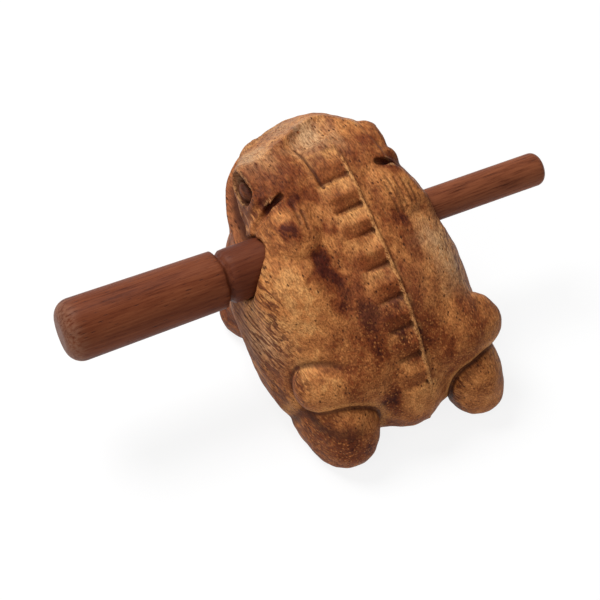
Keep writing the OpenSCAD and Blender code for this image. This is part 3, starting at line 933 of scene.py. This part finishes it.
def pores_of(look, at):
    """Pores along the grain: dots on the end grain and short dashes elsewhere."""
    pores = look.between(look.dots(at, (0.85, 0.34, 0.85)), 0.27, 0.12)
    patches = look.between(look.noise(at, (0.14, 0.10, 0.14), 2.0), 0.42, 0.55)
    return look.product(pores, patches, 0.85)


def grained(look, at, fine, colour):
    """Pale specks on the end grain at the rear, and fine light and dark all over."""
    specks = look.between(look.dots(at, (1.25, 0.6, 1.25)), 0.42, 0.18)
    specks = look.product(specks, look.painted("rear"), look.between(fine, 0.36, 0.54), 0.60)
    colour = look.mix(specks, colour, TAN)
    grain = look.colours(look.between(fine, 0.32, 0.68), (0.0, GRAIN_DARK), (1.0, GRAIN_LIGHT))
    return look.mix(0.64, colour, grain, "MULTIPLY")


def creased(look, fine, colour):
    """Painted shade in the folds, scored lines, crevices and mouth, and worn edges."""
    fold_edge = look.product(look.painted("fold_edge"), look.between(fine, 0.36, 0.55), 0.55)
    colour = look.mix(fold_edge, colour, PALE)
    # Painted shade: the folds, scored lines, crevices and the inside of the mouth are darkened to the pore
    # colour.
    for name, low, high, strength in (
        ("fold", 0.20, 1.0, 0.70),
        ("scored_shade", 0.25, 1.0, 0.8),
        ("crevice_shade", 0.20, 0.85, 0.75),
    ):
        share = look.product(look.between(look.painted(name), low, high), strength)
        colour = look.mix(share, colour, PORE_AND_SHADE)
    colour = look.mix(look.product(look.painted("mouth_shade"), 0.85), colour, PORE_AND_SHADE)
    worn = look.product(look.between(look.painted("crest"), 0.45, 0.90), look.between(fine, 0.38, 0.60), 0.42)
    return look.mix(worn, colour, WORN)


def frog_wood():
    look = Look("frog_wood_look")
    at = look.millimetres()
    blots = look.noise(at, (0.28, 0.17, 0.28), 5.0, 0.62)
    mottle = look.noise(at, (1.0, 0.55, 1.0), 4.0, 0.65)
    fine = look.noise(at, (2.6, 0.5, 2.6), 4.0, 0.7)
    layers, pores = growth_layers(look, at), pores_of(look, at)
    colour = growth_lines(look, at, layers, wood_tones_light_and_shade(look, at, blots, mottle))
    colour = look.mix(look.product(look.painted("lower_lip"), 0.40), colour, LIP)
    colour = ridge_tones(look, blots, mottle, fine, colour)
    colour = grained(look, at, fine, look.mix(pores, colour, PORE_AND_SHADE))
    colour = creased(look, fine, colour)
    height = look.sum((fine, 0.5), (mottle, 0.3), (layers, 0.4), (pores, -0.6))
    rough = look.math("ADD", look.math("MULTIPLY", fine, 0.30), 0.36)
    return look.finish(colour, rough, height, bump_m=0.0004, strength=0.65, gloss=0.06)


def stick_wood():
    look = Look("stick_wood_look")
    at = look.millimetres()
    along = look.axes(at)["X"]
    broad = look.noise(at, (0.035, 0.22, 0.22), 3.0, 0.55)
    grain = look.noise(at, (0.10, 1.7, 1.7), 5.0, 0.7)
    colour = look.colours(look.sum((broad, 0.4), (grain, 0.6)), *STICK_TONES)
    pores = look.between(look.dots(at, (0.28, 1.6, 1.6)), 0.26, 0.10)
    pores = look.product(pores, look.between(grain, 0.62, 0.40))
    colour = look.mix(look.product(pores, 0.8), colour, STICK_PORE)
    end_worn = look.product(look.between(along, *WORN_END), look.between(grain, 0.35, 0.6), 0.4)
    colour = look.mix(end_worn, colour, STICK_WORN)
    collar = look.product(look.between(along, *COLLAR_STARTS), look.between(along, *COLLAR_ENDS), 0.45)
    colour = look.mix(collar, colour, STICK_COLLAR)
    shaft = look.product(look.between(along, *SHAFT_STARTS), look.between(grain, 0.30, 0.60), 0.45)
    colour = look.mix(shaft, colour, STICK_SHAFT)
    rough = look.math("ADD", look.math("MULTIPLY", grain, 0.3), 0.30)
    height = look.sum((grain, 1.0), (pores, -0.6))
    return look.finish(colour, rough, height, bump_m=0.0002, strength=0.45, gloss=0.07)


def seen_straight(tree):
    """1 for what the camera sees, straight or in a gloss or through glass, and 0 for light on the object."""
    path = tree.nodes.new("ShaderNodeLightPath")
    total = path.outputs["Is Camera Ray"]
    for name in ("Is Glossy Ray", "Is Transmission Ray"):
        add = tree.nodes.new("ShaderNodeMath")
        add.operation = "MAXIMUM"
        tree.links.new(total, add.inputs[0])
        tree.links.new(path.outputs[name], add.inputs[1])
        total = add.outputs[0]
    return total


def mixed_surface(tree, output, share, first, second):
    """The output shows the first shader, and the second by the given share."""
    out = tree.nodes.new("ShaderNodeOutput" + output)
    mix = tree.nodes.new("ShaderNodeMixShader")
    tree.links.new(share, mix.inputs[0])
    tree.links.new(first.outputs[0], mix.inputs[1])
    tree.links.new(second.outputs[0], mix.inputs[2])
    tree.links.new(mix.outputs[0], out.inputs["Surface"])


def make_floor():
    """A pale floor that takes the object's shadow and is lifted almost to white where it is seen."""
    bpy.ops.mesh.primitive_plane_add(size=FLOOR_SIZE, location=(0, 0, 0))
    floor = bpy.context.object
    floor.name = "floor"
    mat = bpy.data.materials.new("floor_white")
    mat.use_nodes = True
    tree = mat.node_tree
    tree.nodes.clear()
    diffuse = tree.nodes.new("ShaderNodeBsdfDiffuse")
    diffuse.inputs["Color"].default_value = (FLOOR_GREY, FLOOR_GREY, FLOOR_GREY, 1)
    glow = tree.nodes.new("ShaderNodeEmission")
    glow.inputs["Strength"].default_value = 1.0
    lift = tree.nodes.new("ShaderNodeMath")
    lift.operation = "MULTIPLY"
    lift.inputs[1].default_value = FLOOR_LIFT
    tree.links.new(seen_straight(tree), lift.inputs[0])
    mixed_surface(tree, "Material", lift.outputs[0], diffuse, glow)
    floor.data.materials.append(mat)


def make_world():
    """White where it is seen, and a plain soft light on the object."""
    world = bpy.data.worlds.new("studio")
    bpy.context.scene.world = world
    world.use_nodes = True
    tree = world.node_tree
    tree.nodes.clear()
    fill = tree.nodes.new("ShaderNodeBackground")
    fill.inputs["Color"].default_value = (1, 1, 1, 1)
    fill.inputs["Strength"].default_value = WORLD_FILL
    seen = tree.nodes.new("ShaderNodeBackground")
    seen.inputs["Color"].default_value = (1, 1, 1, 1)
    mixed_surface(tree, "World", seen_straight(tree), fill, seen)


def lamp(name, at, size, power):
    data = bpy.data.lights.new(name, "AREA")
    data.shape = "DISK"
    data.size = size
    data.energy = power
    obj = bpy.data.objects.new(name, data)
    obj.location = at
    obj.rotation_euler = (Vector(LAMP_AIM) - Vector(at)).to_track_quat("-Z", "Y").to_euler()
    bpy.context.collection.objects.link(obj)


def make_camera():
    azimuth, elevation = math.radians(CAMERA_AZIMUTH), math.radians(CAMERA_ELEVATION)
    flat = math.cos(elevation)
    back = Vector((math.sin(azimuth) * flat, -math.cos(azimuth) * flat, math.sin(elevation)))
    right = Vector((math.cos(azimuth), math.sin(azimuth), 0))
    up = back.cross(right)
    eye = right * CAMERA_RIGHT + up * CAMERA_UP + back * CAMERA_DISTANCE
    data = bpy.data.cameras.new("camera")
    data.sensor_width = SENSOR_MM
    data.lens = LENS_MM
    data.clip_start = 0.01
    obj = bpy.data.objects.new("camera", data)
    obj.matrix_world = Matrix((
        (right.x, up.x, back.x, eye.x),
        (right.y, up.y, back.y, eye.y),
        (right.z, up.z, back.z, eye.z),
        (0, 0, 0, 1),
    ))
    bpy.context.collection.objects.link(obj)
    bpy.context.scene.camera = obj


make_frog()
make_stick()
make_floor()
make_world()
lamp("key", (-0.15, 0.28, 0.62), size=0.34, power=4.8)
lamp("fill", (-0.5, -0.3, 0.5), size=0.5, power=1.35)
make_camera()
bpy.context.scene.view_settings.view_transform = "Standard"
